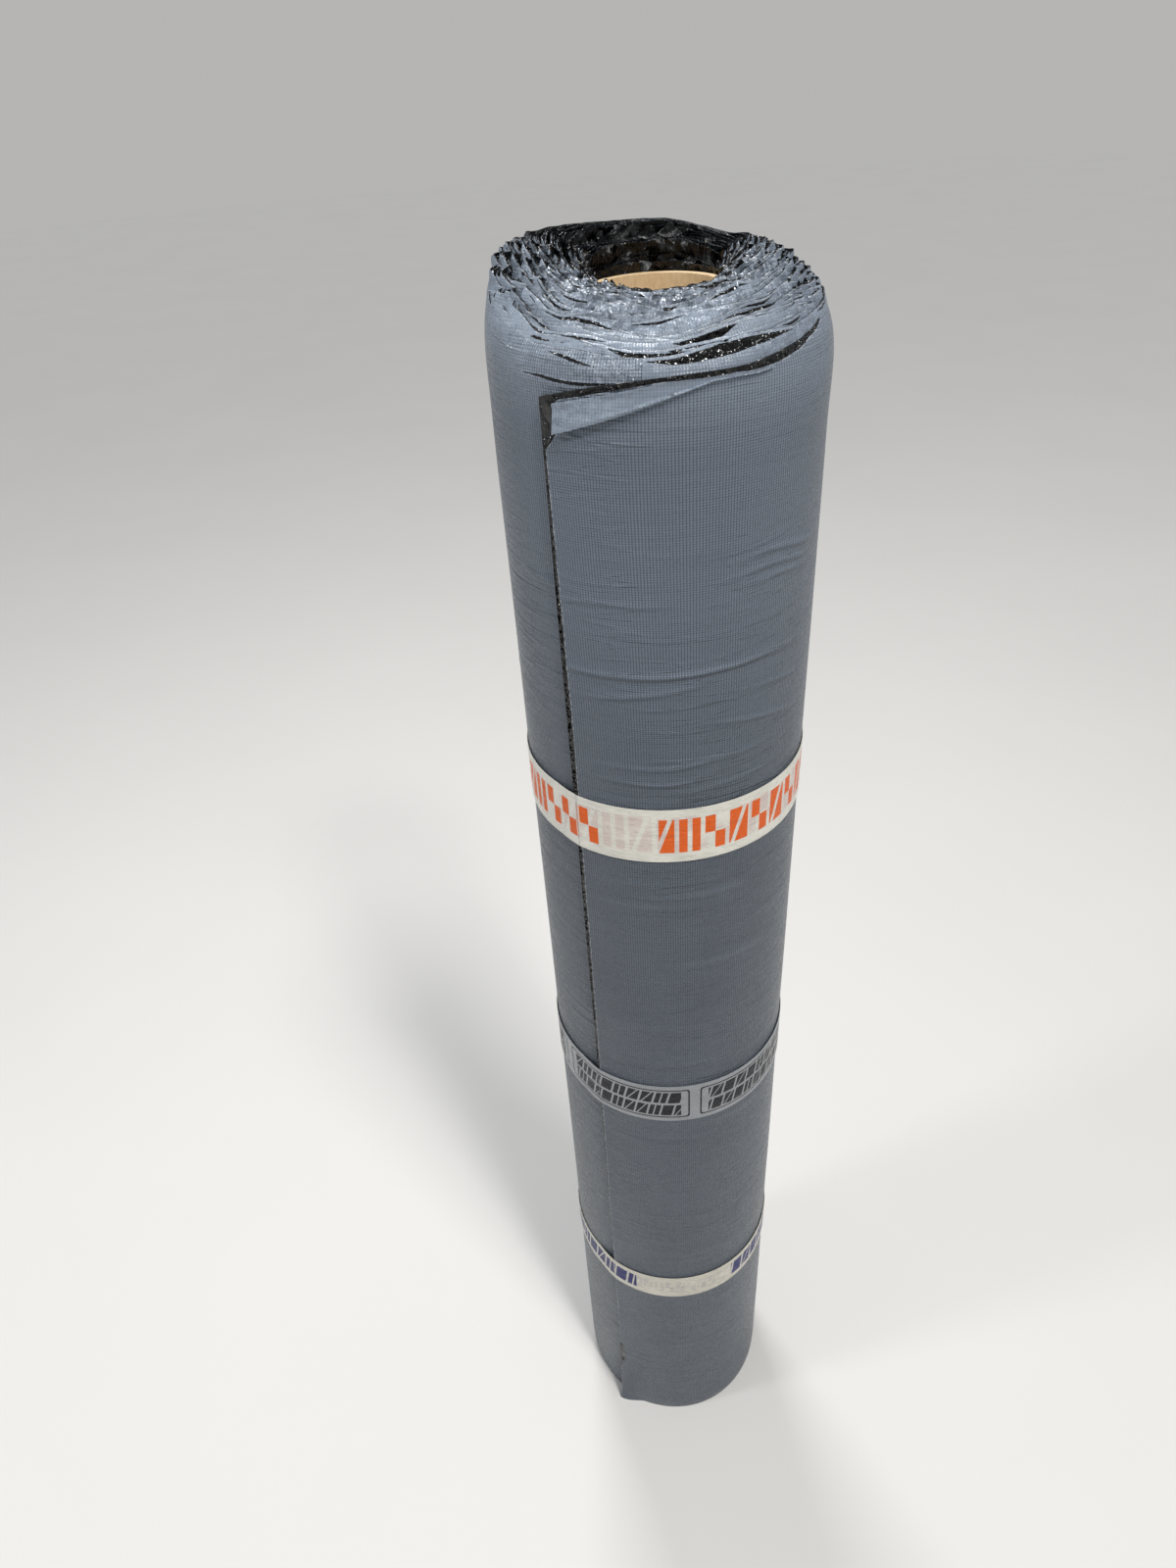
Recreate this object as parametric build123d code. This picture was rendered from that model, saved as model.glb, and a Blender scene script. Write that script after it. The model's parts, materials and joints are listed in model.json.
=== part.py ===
from build123d import *
import os
from math import acos, cos, degrees, pi, radians, sin

# A full roll of self-adhesive bitumen roofing membrane, standing on its end.
# +Z is up along the roll. The origin is on the floor, on the axis of the roll.
# -Y is the side that the free edge of the sheet is on, a little left of the middle.

# The sheet, and how it is wound on its core
sheet_width = 1000.0
sheet_thickness = 2.0
turns = 26
free_edge_direction = -125.0  # degrees from +X, counterclockwise seen from above

# The cardboard core, as long as the sheet is wide, which has slid up in the roll
core_diameter = 70.0
core_wall = 4.0
core_lift = 20.0

# The upper end: each turn stands above the turn outside it, and its edge leans inwards
crown_rise = 42.0  # from the edge of the outermost turn to the highest leaf
crest_margin = 15.0  # from the core out to the highest leaf
mouth_clearance = 1.0  # between the bore of the core and the leaves that lean over it
mouth_rise = 4.0  # from the end of the core to the edge round the mouth
lip_clearance = 1.0  # between the end of the core and the leaves above it
leaf_notch = 1.5  # how deep the joint between two leaves shows

# The three bands of tape that hold the roll closed
tape_thickness = 0.3
wide_tape_width = 38.0
wide_tape_from_top = 233.0
clear_tape_width = 39.0
narrow_tape_width = 30.0
narrow_tape_from_foot = 226.0

# Worked out from the values above
core_radius = core_diameter / 2
core_bore_radius = core_radius - core_wall
core_top = core_lift + sheet_width
crest_radius = core_radius + crest_margin
crest_height = sheet_width + crown_rise
roll_radius = core_radius + turns * sheet_thickness
outer_leaf_radius = roll_radius - 2 * sheet_thickness
trim_radius = roll_radius + sheet_thickness
mouth_radius = core_bore_radius + mouth_clearance
mouth_height = core_top + mouth_rise
wide_tape_foot = sheet_width - wide_tape_from_top - wide_tape_width
clear_tape_foot = (sheet_width - clear_tape_width) / 2
quarters = 4  # arcs in the outermost turn
quarter_angle = 360.0 / quarters
quarter_shrink = sheet_thickness / quarters


def leaf_height(radius):
    """Height of the leaf tips: a quarter sine wave up to the crest, then a curl down to the mouth."""
    if radius >= crest_radius:
        way_in = (outer_leaf_radius - radius) / (outer_leaf_radius - crest_radius)
        return sheet_width + crown_rise * sin(pi / 2 * way_in)
    curl = (crest_radius - radius) / (crest_radius - mouth_radius)
    return crest_height - (crest_height - mouth_height) * curl**2


def turn_radii():
    """Inner and outer radius of each turn seen on the ends, the last one wide enough to be trimmed."""
    inner = [core_radius + turn * sheet_thickness for turn in range(turns - 1)]
    return list(zip(inner, inner[1:] + [trim_radius]))


def crown_points():
    """The upper end from the rim to the bore: one tooth for each turn, then the lip over the core."""
    points = []
    for inner, outer in reversed(turn_radii()):
        lower_tip = min(leaf_height(min(outer, outer_leaf_radius)), leaf_height(inner))
        points.append((outer, lower_tip - leaf_notch))
        points.append((inner, leaf_height(inner)))
    points.append((core_radius, leaf_height(core_radius) - leaf_notch))
    points.append((mouth_radius, mouth_height))
    points.append((mouth_radius, core_top + lip_clearance))
    points.append((core_radius, core_top + lip_clearance))
    return points


def foot_points():
    """The lower end from the bore to the rim: each turn is as wide as the sheet, so the foot is hollow."""
    points = []
    for inner, outer in turn_radii():
        height = leaf_height(inner) - sheet_width
        points.append((inner, height))
        points.append((outer, height))
    return points


def outward(direction):
    """A unit vector from the axis of the roll."""
    return Vector(cos(radians(direction)), sin(radians(direction)))


def arc_radius(quarter):
    """Radius of each arc of the outermost turn: the free edge then lies at the radius of the roll."""
    return roll_radius - (quarter + 0.5) * quarter_shrink


def spiral_arcs(last_cut=0.0):
    """The outermost turn as four arcs that join smoothly and lose one sheet thickness in all."""
    arcs = []
    corner = outward(free_edge_direction + quarter_angle) + outward(free_edge_direction + 2 * quarter_angle)
    middle = corner * (-quarter_shrink / 2)
    for quarter in range(quarters):
        start = free_edge_direction + quarter * quarter_angle
        sweep = quarter_angle - (last_cut if quarter == quarters - 1 else 0.0)
        arcs.append(CenterArc(middle, arc_radius(quarter), start, sweep))
        middle += outward(start + quarter_angle) * quarter_shrink
    return arcs


def closed_face(arcs):
    """A face inside the arcs, closed by a straight line from the end of the last to the start."""
    closing = Line(arcs[-1] @ 1, arcs[0] @ 0)
    return make_face(Wire(arcs + [closing]).edges())


def felt_roll():
    """The wound sheet as one turned solid, cut to the spiral of its outermost turn."""
    section = make_face(Polyline(*foot_points(), *crown_points(), close=True))
    turned = revolve(section.rotate(Axis.X, 90), Axis.Z)
    trim = extrude(closed_face(spiral_arcs()), crest_height)
    return turned & trim


def core_tube():
    """The plain cardboard tube."""
    ring = Circle(core_radius) - Circle(core_bore_radius)
    return extrude(Pos(0, 0, core_lift) * ring, sheet_width)


def tape_band(width, foot):
    """A band of tape round the roll, straight where it comes down off the free edge."""
    bridge_angle = degrees(acos(arc_radius(quarters - 1) / (arc_radius(0) + quarter_shrink)))
    inside = closed_face(spiral_arcs(last_cut=bridge_angle))
    band = offset(inside, tape_thickness) - inside
    return extrude(Pos(0, 0, foot) * band, width)


nodes = {
    "felt_roll": felt_roll(),
    "core_tube": core_tube(),
    "wide_tape": tape_band(wide_tape_width, wide_tape_foot),
    "clear_tape": tape_band(clear_tape_width, clear_tape_foot),
    "narrow_tape": tape_band(narrow_tape_width, narrow_tape_from_foot),
}

os.makedirs("parts", exist_ok=True)
for name, shape in nodes.items():
    export_step(shape, f"parts/{name}.step")
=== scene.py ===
import json
import math

import bpy
import numpy as np
from mathutils import Matrix, Vector

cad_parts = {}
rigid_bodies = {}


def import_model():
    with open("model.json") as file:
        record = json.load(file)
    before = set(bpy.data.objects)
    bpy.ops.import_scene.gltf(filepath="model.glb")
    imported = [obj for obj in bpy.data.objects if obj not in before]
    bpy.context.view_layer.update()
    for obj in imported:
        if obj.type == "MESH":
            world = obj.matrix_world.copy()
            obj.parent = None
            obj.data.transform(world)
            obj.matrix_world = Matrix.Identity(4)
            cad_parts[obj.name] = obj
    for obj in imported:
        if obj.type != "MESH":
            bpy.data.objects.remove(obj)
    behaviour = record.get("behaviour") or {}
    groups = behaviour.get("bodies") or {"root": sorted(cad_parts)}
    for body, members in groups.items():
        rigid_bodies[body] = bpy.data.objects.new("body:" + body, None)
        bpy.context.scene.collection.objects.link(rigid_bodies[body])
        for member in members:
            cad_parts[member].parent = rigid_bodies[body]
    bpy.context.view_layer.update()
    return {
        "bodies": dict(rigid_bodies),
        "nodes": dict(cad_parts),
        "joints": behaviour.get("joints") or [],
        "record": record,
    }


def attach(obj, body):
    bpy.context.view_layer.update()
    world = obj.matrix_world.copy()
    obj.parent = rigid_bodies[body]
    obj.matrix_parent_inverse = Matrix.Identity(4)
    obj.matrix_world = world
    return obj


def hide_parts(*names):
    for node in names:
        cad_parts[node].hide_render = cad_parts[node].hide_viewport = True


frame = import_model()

# A roll of self-adhesive bitumen roofing felt on its cardboard core, standing on its end.
# Lengths are in millimetres up to the meshes, which are in metres. Azimuth 0 is -Y, and 90 is +X.

MM = 0.001
SHEET = 2.0  # thickness of the felt
TURNS = 26
CORE_RADIUS = 35.0
BORE_RADIUS = 31.0
CORE_FOOT = 20.0
FELT_WIDTH = 1000.0
FREE_EDGE = -35.0  # azimuth of the sheet's outer end
OUTER_LEAF = 83.0  # radius under the outermost turn
CREST_RADIUS = 50.0
CREST_RISE = 42.0
MOUTH_RADIUS = 32.0
MOUTH_RISE = 24.0
BODY_TOP = 978.0  # where the outermost turn begins to lean inwards
HIGHEST = FELT_WIDTH + CREST_RISE
LIP = 0.9  # film left above a gap under a leaf's tip
INNER_FACE = -3.0  # film_reach on the sheet's inner face, which has no film
SHARP_EDGE = 38  # degrees between faces
WARP_PITCH, WEFT_PITCH = 0.0015, 0.0013  # of the film's weave, in metres
LEAF_DEPTH = 34.0  # how far a leaf of the crown reaches down
COLUMN = 1.35  # along the sheet, between the columns of a leaf's mesh
TAPE_BACK, TAPE_FACE = 0.02, 0.34  # the tape's two faces, off the felt
TAPE_RADIUS = 86.0  # mean radius of the outermost turn
FOIL_CELL = 0.004  # of crumpled film, in metres
BRIDGE = 12.3  # degrees of tape that come straight down off the free edge


# Numbers and noise

def smooth(x, low=0.0, high=1.0):
    """An S-shaped step from 0 at low to 1 at high."""
    t = np.clip((np.asarray(x, float) - low) / (high - low), 0, 1)
    return t * t * (3 - 2 * t)


def hump(x, middle, half_width):
    """A smooth hump of height 1: a raised cosine, zero beyond its half width."""
    t = np.clip(np.abs(np.asarray(x, float) - middle) / half_width, 0, 1)
    return 0.5 + 0.5 * np.cos(math.pi * t)


def drift(x, spacing, seed):
    """Smooth noise from -1 to 1 along a line: random heights at even steps, joined by S-shaped steps."""
    count = 1021
    heights = np.random.default_rng(seed).uniform(-1, 1, count)
    g = np.asarray(x, float) / spacing
    i = np.floor(g).astype(int)
    t = smooth(g - i)
    return heights[i % count] * (1 - t) + heights[(i + 1) % count] * t


def rumple(x, y, step_x, step_y, seed):
    """Smooth noise from -1 to 1 on a surface: random heights on a grid, joined by S-shaped steps both ways."""
    count_x, count_y = 509, 251
    heights = np.random.default_rng(seed).uniform(-1, 1, (count_x, count_y))
    gx, gy = np.broadcast_arrays(np.asarray(x, float) / step_x, np.asarray(y, float) / step_y)
    i, j = np.floor(gx).astype(int), np.floor(gy).astype(int)
    s, t = smooth(gx - i), smooth(gy - j)
    i0, i1, j0, j1 = i % count_x, (i + 1) % count_x, j % count_y, (j + 1) % count_y
    near = heights[i0, j0] * (1 - s) + heights[i1, j0] * s
    far = heights[i0, j1] * (1 - s) + heights[i1, j1] * s
    return near * (1 - t) + far * t


def creases(x, y, step_x, step_y, seed):
    """Sharp folds in foil: 0 along the creases and up to 1 between them."""
    return 1 - np.abs(rumple(x, y, step_x, step_y, seed)) * 2


# Meshes

def polar(radius, azimuth, height):
    """Points from a radius, an azimuth in degrees and a height."""
    a = np.radians(azimuth)
    radius, a, height = np.broadcast_arrays(radius, a, height)
    return np.stack([radius * np.sin(a), -radius * np.cos(a), height], -1)


def surface(name, points, material, closed_u=False, closed_v=False, capped=False, maps=None):
    """A mesh from a grid of points in millimetres: closed round u or v where asked, with its two v rings capped.

    maps holds named layers: two columns a point make a UV map, one makes a float attribute.
    """
    n, m = points.shape[:2]
    index = np.arange(n * m).reshape(n, m)
    rows = index if not closed_u else np.vstack([index, index[:1]])
    rows = rows if not closed_v else np.hstack([rows, rows[:, :1]])
    quads = np.stack([rows[:-1, :-1], rows[1:, :-1], rows[1:, 1:], rows[:-1, 1:]], -1).reshape(-1, 4)
    faces = quads.tolist()
    if capped:
        faces += [index[0].tolist(), index[-1][::-1].tolist()]
    mesh = bpy.data.meshes.new(name)
    mesh.from_pydata((points.reshape(-1, 3) * MM).tolist(), [], faces)
    for layer, values in (maps or {}).items():
        flat = np.asarray(values, float).reshape(n * m, -1)
        if flat.shape[1] == 2:
            uv = mesh.uv_layers.new(name=layer)
            corner = np.zeros(len(mesh.loops), np.int32)
            mesh.loops.foreach_get("vertex_index", corner)
            uv.data.foreach_set("uv", flat[corner].astype(np.float32).ravel())
        else:
            attribute = mesh.attributes.new(layer, "FLOAT", "POINT")
            attribute.data.foreach_set("value", flat[:, 0].astype(np.float32))
    mesh.polygons.foreach_set("use_smooth", [True] * len(mesh.polygons))
    mesh.set_sharp_from_angle(angle=math.radians(SHARP_EDGE))
    mesh.update()
    piece = bpy.data.objects.new(name, mesh)
    bpy.context.scene.collection.objects.link(piece)
    piece.data.materials.append(material)
    return piece


def belongs(piece, slot, *nodes):
    """The piece rides on the roll and stands for CAD nodes, which it hides. The slot is not used."""
    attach(piece, "root")
    if nodes:
        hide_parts(*nodes)
    return piece


# Materials

class Finish:
    """A material under construction: makes nodes and links them."""

    def __init__(self, name):
        self.material = bpy.data.materials.new(name)
        self.material.use_nodes = True
        self.tree = self.material.node_tree
        self.shader = self.tree.nodes["Principled BSDF"]

    def put(self, socket, value):
        """Links a node's output to a socket, or sets the socket's own value."""
        if isinstance(value, bpy.types.NodeSocket):
            self.tree.links.new(value, socket)
        else:
            socket.default_value = value

    def node(self, kind, inputs=None, **settings):
        """A node with its settings and inputs."""
        made = self.tree.nodes.new(kind)
        for key, value in settings.items():
            setattr(made, key, value)
        for key, value in (inputs or {}).items():
            self.put(made.inputs[key], value)
        return made

    def math(self, operation, a, b=0.0, c=0.0, clamp=False):
        """One arithmetic step."""
        return self.node("ShaderNodeMath", {0: a, 1: b, 2: c}, operation=operation, use_clamp=clamp).outputs[0]

    def plus(self, a, b, clamp=False):
        """The sum of two numbers."""
        return self.math("ADD", a, b, clamp=clamp)

    def minus(self, a, b):
        """One number less another."""
        return self.math("SUBTRACT", a, b)

    def times(self, a, b, clamp=False):
        """The product of two numbers."""
        return self.math("MULTIPLY", a, b, clamp=clamp)

    def apart(self, a, b):
        """How far two numbers are apart."""
        return self.math("ABSOLUTE", self.minus(a, b))

    def layer(self, name):
        """A mesh attribute."""
        return self.node("ShaderNodeAttribute", attribute_name=name).outputs["Fac"]

    def chart(self, name):
        """A UV map, and its two numbers."""
        uv = self.node("ShaderNodeUVMap", uv_map=name).outputs["UV"]
        split = self.node("ShaderNodeSeparateXYZ", {"Vector": uv})
        return uv, split.outputs["X"], split.outputs["Y"]

    def mix(self, share, a, b):
        """A colour between two."""
        made = self.node("ShaderNodeMix", data_type="RGBA")
        self.put(made.inputs["Factor"], share)
        self.put(made.inputs["A"], a)
        self.put(made.inputs["B"], b)
        return made.outputs["Result"]

    def blend(self, share, a, b):
        """A number between two."""
        made = self.node("ShaderNodeMix", data_type="FLOAT")
        self.put(made.inputs["Factor"], share)
        self.put(made.inputs["A"], a)
        self.put(made.inputs["B"], b)
        return made.outputs["Result"]

    def turn(self, share, a, b):
        """A normal between two."""
        made = self.node("ShaderNodeMix", data_type="VECTOR")
        self.put(made.inputs[0], share)
        self.put(made.inputs[4], a)
        self.put(made.inputs[5], b)
        return made.outputs[1]

    def step(self, value, low, high):
        """An S-shaped step of a number."""
        made = self.node("ShaderNodeMapRange", {"Value": value, "From Min": low, "From Max": high},
                         interpolation_type="SMOOTHSTEP")
        return made.outputs["Result"]

    def between(self, value, low, high):
        """1 where a number is between two others."""
        return self.times(self.math("GREATER_THAN", value, low), self.math("LESS_THAN", value, high))

    def place(self):
        """Object coordinates."""
        return self.node("ShaderNodeTexCoord").outputs["Object"]

    def noise(self, size, detail=3.0, rough=0.55, at=None, stretch=(1, 1, 1)):
        """Noise with spots of a size in metres, drawn out along the axes."""
        where = self.node("ShaderNodeMapping", {"Vector": at or self.place(), "Scale": stretch}).outputs[0]
        inputs = {"Vector": where, "Scale": 1 / size, "Detail": detail, "Roughness": rough}
        return self.node("ShaderNodeTexNoise", inputs).outputs["Fac"]

    def ridge(self, at, stretch, width):
        """Thin wandering lines: where noise crosses its middle value."""
        level = self.noise(1.0, 1.0, 0.4, at=at, stretch=stretch)
        return self.minus(1.0, self.step(self.apart(level, 0.5), 0.0, width))

    def facets(self, size):
        """Crumpled foil: uneven cells of a size in metres, each a flat face with its own small slope."""
        def vector(operation, a, b):
            return self.node("ShaderNodeVectorMath", {0: a, 1: b}, operation=operation).outputs

        waves = {"Vector": self.place(), "Scale": 0.7 / size, "Detail": 1.0}
        bent = vector("MULTIPLY", self.node("ShaderNodeTexNoise", waves).outputs["Color"], (1.6 * size,) * 3)[0]
        where = vector("ADD", self.place(), bent)[0]
        cells = self.node("ShaderNodeTexVoronoi", {"Vector": where, "Scale": 1 / size}).outputs
        slope = vector("SUBTRACT", cells["Color"], (0.5, 0.5, 0.5))[0]
        from_middle = vector("SUBTRACT", where, cells["Position"])[0]
        return self.math("DIVIDE", vector("DOT_PRODUCT", slope, from_middle)["Value"], size)

    def bump(self, height, depth, normal=None):
        """A bump of a depth in metres."""
        inputs = {"Height": height, "Distance": depth, "Strength": 1.0}
        if normal is not None:
            inputs["Normal"] = normal
        return self.node("ShaderNodeBump", inputs).outputs["Normal"]


FILM_BLUE = (0.130, 0.152, 0.184, 1)
# painted highlight colour for the crests of the film's wrinkles
FILM_WRINKLE_LIT = (0.160, 0.188, 0.226, 1)
# darker random tone of the film, also used as painted shade in the hollows of its wrinkles
FILM_DEEP = (0.100, 0.118, 0.144, 1)
# dark colour of the weave's valleys, also used as painted shade in the folds under creases
FILM_VALLEY = (0.048, 0.058, 0.075, 1)
# pale film: the folded corner's underside and scuffs on crease ridges, and painted light high up and on crease ridges
FILM_WORN_AND_LIT = (0.30, 0.355, 0.435, 1)
FILM_THREAD = (0.50, 0.54, 0.58, 1)
BITUMEN = (0.0030, 0.0030, 0.0031, 1)
BITUMEN_BROWN = (0.009, 0.0072, 0.0055, 1)


def woven(f, along, up):
    """The weave: pillows from 0 to 1, where two rows of humps cross."""
    warp = f.math("ABSOLUTE", f.math("SINE", f.times(along, math.pi / WARP_PITCH)))
    weft = f.math("ABSOLUTE", f.math("SINE", f.times(up, math.pi / WEFT_PITCH)))
    return f.times(f.math("POWER", warp, 0.7), f.plus(0.40, f.times(weft, 0.60)))


def film_cover(f):
    """Where the film shows, from 0 to 1 with a frayed edge, and how far in millimetres a place lies within it.

    The film shows where film_reach is above zero, but not in a gap: where below_tip lies between LIP and gap_depth.
    In a gap the bare black bitumen shows, which also stands for a painted shadow under the lip.
    """
    below_tip, gap = f.layer("below_tip"), f.layer("gap_depth")
    outside_gap = f.math("MAXIMUM", f.minus(below_tip, gap), f.minus(LIP, below_tip))
    reach = f.math("MINIMUM", f.layer("film_reach"), outside_gap)
    frayed = f.plus(reach, f.times(f.minus(f.noise(0.0016, 2.0), 0.5), 0.6))
    return f.step(frayed, -0.06, 0.10), reach


def film_tint(f, uv, cloth, wrinkles, crinkle, pale, weave_contrast):
    """Colour of the film: cloudy slate blue, paler high up as painted light from above, with a painted highlight on
    wrinkle crests and crease ridges, where it is partly a scuff, and painted shade in their hollows and folds; paler
    on the folded corner, and dark in the weave.
    """
    tint = f.mix(f.times(f.step(f.noise(0.09, 3.0), 0.3, 0.7), 0.6), FILM_BLUE, FILM_DEEP)
    # painted highlight on the wrinkles' crests and painted shade in their hollows, following the wrinkles' bump noise
    tint = f.mix(f.times(f.step(wrinkles, 0.5, 0.8), 0.30), tint, FILM_WRINKLE_LIT)
    tint = f.mix(f.times(f.step(wrinkles, 0.45, 0.25), 0.30), tint, FILM_DEEP)
    # painted light from above: the film is painted paler from 720 to 930 mm up the wall and more so on the crown, the
    # weave's valleys too
    level = f.node("ShaderNodeSeparateXYZ", {"Vector": f.place()}).outputs["Z"]
    high_up = f.plus(f.times(f.step(level, 0.72, 0.93), 0.28), f.times(f.step(level, 0.960, 1.012), 0.48))
    # paleness where crinkle is high, for a finish with a pale share: the folded corner's paler underside, and a
    # painted highlight on its rolled ridge
    paleness = f.times(f.step(crinkle, 0.05, 0.30), pale) if pale else 0.0
    tint = f.mix(f.plus(paleness, high_up, clamp=True), tint, FILM_WORN_AND_LIT)
    # painted light and shade along the creases: paler on each ridge, a scuff and a painted highlight, and darker in
    # the fold below, painted shade
    crease = f.layer("crease_wear")
    tint = f.mix(f.times(crease, 0.5, clamp=True), tint, FILM_WORN_AND_LIT)
    tint = f.mix(f.times(crease, -0.7, clamp=True), tint, FILM_VALLEY)
    valley = f.mix(f.times(high_up, 0.45), FILM_VALLEY, FILM_WORN_AND_LIT)
    tint = f.mix(f.blend(weave_contrast, 1.0, f.step(cloth, 0.12, 0.78)), valley, tint)
    at_edge = f.between(f.layer("film_reach"), -0.1, 0.65)
    threads = f.times(at_edge, f.step(f.noise(1.0, 1.0, at=uv, stretch=(500, 420, 1)), 0.46, 0.56))
    return f.mix(f.times(threads, 0.55), tint, FILM_THREAD)


def felt_finish(name, weave_depth=0.00028, foil_depth=0.0005, facet_tilt=0.5, fold_depth=0.0006, pale=0.0,
                weave_contrast=1.0):
    """Slate-blue woven film over black bitumen, as crumpled as the attribute crinkle says.

    The weave and wrinkles are on the felt's own UV map, in metres along the sheet and up it. Bare strips are rough
    and glitter, and the inner face is smooth with the weave's imprint.
    """
    f = Finish(name)
    uv, along, up = f.chart("felt")
    crinkle = f.layer("crinkle")
    cloth = woven(f, along, up)
    film, reach = film_cover(f)
    strip = f.step(reach, INNER_FACE + 0.4, INNER_FACE + 0.8)

    flat_wrinkles = f.noise(1.0, 3.0, 0.55, at=uv, stretch=(11, 130, 1))
    fine_wrinkles = f.noise(1.0, 2.0, 0.5, at=uv, stretch=(26, 380, 1))
    fine_wrinkles = f.times(fine_wrinkles, f.step(f.noise(0.11, 2.0), 0.38, 0.60))
    long_folds = f.plus(f.ridge(uv, (7, 48, 1), 0.030), f.times(f.ridge(uv, (15, 130, 1), 0.035), 0.6))
    long_folds = f.times(long_folds, f.step(f.noise(0.16, 2.0, at=uv, stretch=(1, 0.8, 1)), 0.42, 0.60))
    foil = f.noise(FOIL_CELL, 4.0, 0.62)
    facets = f.plus(f.facets(FOIL_CELL), f.times(f.facets(FOIL_CELL * 0.5), 0.35))
    grain = f.noise(0.0009, 2.0, 0.7)

    tar = f.mix(f.times(f.step(grain, 0.6, 0.9), strip), BITUMEN, BITUMEN_BROWN)
    tint = film_tint(f, uv, cloth, flat_wrinkles, crinkle, pale, weave_contrast)
    f.put(f.shader.inputs["Base Color"], f.mix(film, tar, tint))

    crumpled = f.step(crinkle, 0.3, 1.0)
    tar_gloss, film_gloss = f.blend(strip, 0.60, 0.38), f.blend(crumpled, 0.26, 0.85)
    f.put(f.shader.inputs["Specular IOR Level"], f.blend(film, tar_gloss, film_gloss))
    tar_rough = f.blend(strip, 0.12, f.blend(f.step(grain, 0.3, 0.7), 0.05, 0.14))
    film_rough = f.blend(f.times(crumpled, 0.8), f.blend(f.step(foil, 0.35, 0.9), 0.26, 0.42), 0.13)
    f.put(f.shader.inputs["Roughness"], f.blend(film, tar_rough, film_rough))

    film_bump = None
    for height, depth in ((cloth, weave_depth), (fine_wrinkles, 0.0009), (flat_wrinkles, 0.0012),
                          (long_folds, fold_depth), (f.times(foil, crinkle), foil_depth),
                          (f.times(facets, crinkle), facet_tilt * FOIL_CELL)):
        film_bump = f.bump(height, depth, film_bump)
    imprint = f.noise(1.0, 3.0, 0.6, at=uv, stretch=(700, 160, 1))
    face_bump = f.bump(f.facets(0.0060), 0.0066, f.bump(imprint, 0.0020))
    strip_bump = f.bump(f.facets(0.0016), 0.0026)
    f.put(f.shader.inputs["Normal"], f.turn(film, f.turn(strip, face_bump, strip_bump), film_bump))
    return f.material


def cardboard_finish():
    """Tan greyboard: fine fibres, darker clouds and the slanted seam lines of the wound plies."""
    f = Finish("core_cardboard")
    fibre = f.noise(0.0018, 4.0, 0.65, stretch=(1, 1, 0.4))
    clouds = f.noise(0.03, 2.0)
    _, around_core, up = f.chart("core")
    slant = f.math("FRACT", f.plus(f.times(around_core, 2.0), f.times(up, 9.0)))
    seam = f.minus(1.0, f.step(f.apart(slant, 0.5), 0.0, 0.012))
    tint = f.mix(f.step(fibre, 0.3, 0.7), (0.56, 0.41, 0.235, 1), (0.68, 0.52, 0.32, 1))
    tint = f.mix(f.times(f.step(clouds, 0.35, 0.7), 0.3), tint, (0.50, 0.35, 0.19, 1))
    tint = f.mix(f.times(seam, 0.5), tint, (0.38, 0.26, 0.14, 1))
    f.put(f.shader.inputs["Base Color"], tint)
    f.put(f.shader.inputs["Roughness"], f.blend(fibre, 0.72, 0.9))
    f.put(f.shader.inputs["Normal"], f.bump(seam, -0.0002, f.bump(fibre, 0.00025)))
    return f.material


def tape_finish(name, ground, print_colour, pattern, ghost):
    """Packing tape: a glossy film with a printed pattern on the tape's UV map and a faint ghost of the print behind.

    The UV runs in tape widths along the tape, and from 0 to 1 across it.
    """
    f = Finish(name)
    uv, along, across = f.chart("tape")
    printed, faint = pattern(f, along, across)
    speckle = f.noise(0.0012, 3.0, 0.7)
    clouds = f.noise(0.018, 3.0)
    tint = f.mix(f.step(clouds, 0.3, 0.75), ground, tuple(c * 0.86 for c in ground[:3]) + (1,))
    tint = f.mix(f.times(faint, f.times(f.step(clouds, 0.30, 0.60), 0.75)), tint, ghost)
    worn = f.times(printed, f.blend(f.step(speckle, 0.35, 0.6), 1.0, 0.95))
    tint = f.mix(worn, tint, print_colour)
    f.put(f.shader.inputs["Base Color"], tint)
    wrinkle = f.noise(0.012, 4.0, 0.6, stretch=(1, 1, 2.2))
    streaks = f.noise(1.0, 3.0, 0.6, at=uv, stretch=(1.1, 16, 1))
    f.put(f.shader.inputs["Roughness"], f.blend(f.step(wrinkle, 0.35, 0.7), 0.20, 0.38))
    f.put(f.shader.inputs["Specular IOR Level"], f.blend(worn, 0.6, 0.06))
    f.put(f.shader.inputs["Normal"], f.bump(wrinkle, 0.0014, f.bump(streaks, 0.0006)))
    return f.material


def floor_finish():
    """A plain pale floor."""
    f = Finish("studio_floor")
    grain = f.noise(0.4, 3.0)
    f.put(f.shader.inputs["Base Color"], f.mix(grain, (0.74, 0.73, 0.71, 1), (0.78, 0.77, 0.75, 1)))
    f.put(f.shader.inputs["Roughness"], f.blend(grain, 0.75, 0.85))
    return f.material


# The crown: heights of the leaf tips over radius and azimuth

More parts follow.
